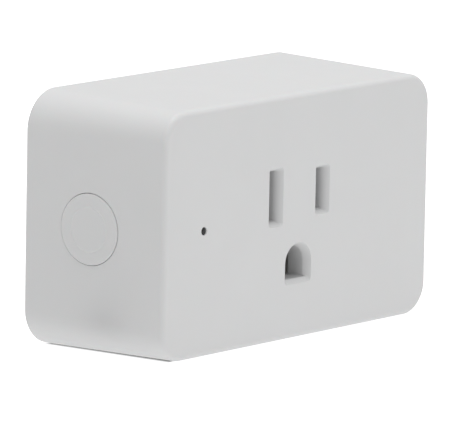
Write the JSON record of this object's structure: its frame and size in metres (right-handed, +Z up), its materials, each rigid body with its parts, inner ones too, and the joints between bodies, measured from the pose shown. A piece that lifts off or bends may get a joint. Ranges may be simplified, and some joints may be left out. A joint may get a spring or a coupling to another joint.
{
  "type": "smart plug",
  "caption": "White box-shaped smart plug with a grounded outlet on the front, flat and round prongs behind, a round side button and a pinhole status light.",
  "frame": {"origin": "centre of the rear face, which meets the wall outlet", "axes": "+X to the right and +Z up seen from the front, +Y from the front face towards the wall"},
  "size_m": [0.0742, 0.0511, 0.0448],
  "materials": {
    "housing": "satin white moulded plastic",
    "button": "satin white moulded plastic",
    "insulator": "off-white flame retardant plastic",
    "dark_plastic": "black moulding compound",
    "clear": "clear polycarbonate",
    "smoked": "smoke-tinted polycarbonate",
    "board": "green solder mask on glass epoxy",
    "module_board": "blue solder mask on glass epoxy",
    "relay_case": "blue moulded case",
    "film": "yellow potted box",
    "varistor_coat": "blue epoxy lacquer",
    "sleeve": "black shrink sleeve over an aluminium can",
    "fuse_coat": "green flameproof coating",
    "ferrite": "dark sintered ferrite",
    "copper": "enamelled copper",
    "nickel": "nickel plated brass",
    "contact_metal": "tin-plated spring brass",
    "steel": "zinc plated steel"
  },
  "bodies": {
    "housing": {"front_shell": "housing", "rear_cover": "housing", "rear_screw_1": "steel", "rear_screw_2": "steel", "rear_screw_3": "steel", "rear_screw_4": "steel", "blade_retainer": "insulator", "neutral_blade": "nickel", "line_blade": "nickel", "ground_pin": "nickel", "retainer_screw_1": "steel", "retainer_screw_2": "steel", "contact_carrier": "insulator", "neutral_contact": "contact_metal", "line_contact": "contact_metal", "ground_contact": "contact_metal", "main_board": "board", "relay": "relay_case", "film_capacitor": "film", "varistor": "varistor_coat", "input_fuse": "fuse_coat", "current_shunt": "copper", "bulk_capacitor_1": "sleeve", "bulk_capacitor_2": "sleeve", "output_capacitor": "sleeve", "converter_inductor_core": "ferrite", "converter_inductor_winding": "copper", "filter_inductor_core": "ferrite", "filter_inductor_winding": "copper", "bridge_rectifier": "dark_plastic", "metering_chip": "dark_plastic", "converter_chip": "dark_plastic", "regulator_chip": "dark_plastic", "relay_driver": "dark_plastic", "flyback_diode": "dark_plastic", "control_board": "board", "board_header": "dark_plastic", "wifi_module": "module_board", "wifi_shield": "steel", "status_led": "clear", "light_pipe": "smoked", "switch_base": "dark_plastic", "switch_cover": "steel", "switch_dome": "steel"},
    "button": {"button_cap": "button"},
    "plunger": {"switch_plunger": "dark_plastic"}
  },
  "joints": [
    {"name": "button_press", "type": "slide", "parent": "housing", "child": "button", "axis": [1, 0, 0], "range_m": [0, 0.00035], "stiffness_N_per_m": 3000},
    {"name": "plunger_press", "type": "slide", "parent": "housing", "child": "plunger", "axis": [1, 0, 0], "range_m": [0, 0.00035]}
  ],
  "couplings": [
    {"joint": "plunger_press", "follows": "button_press", "ratio": 1}
  ]
}
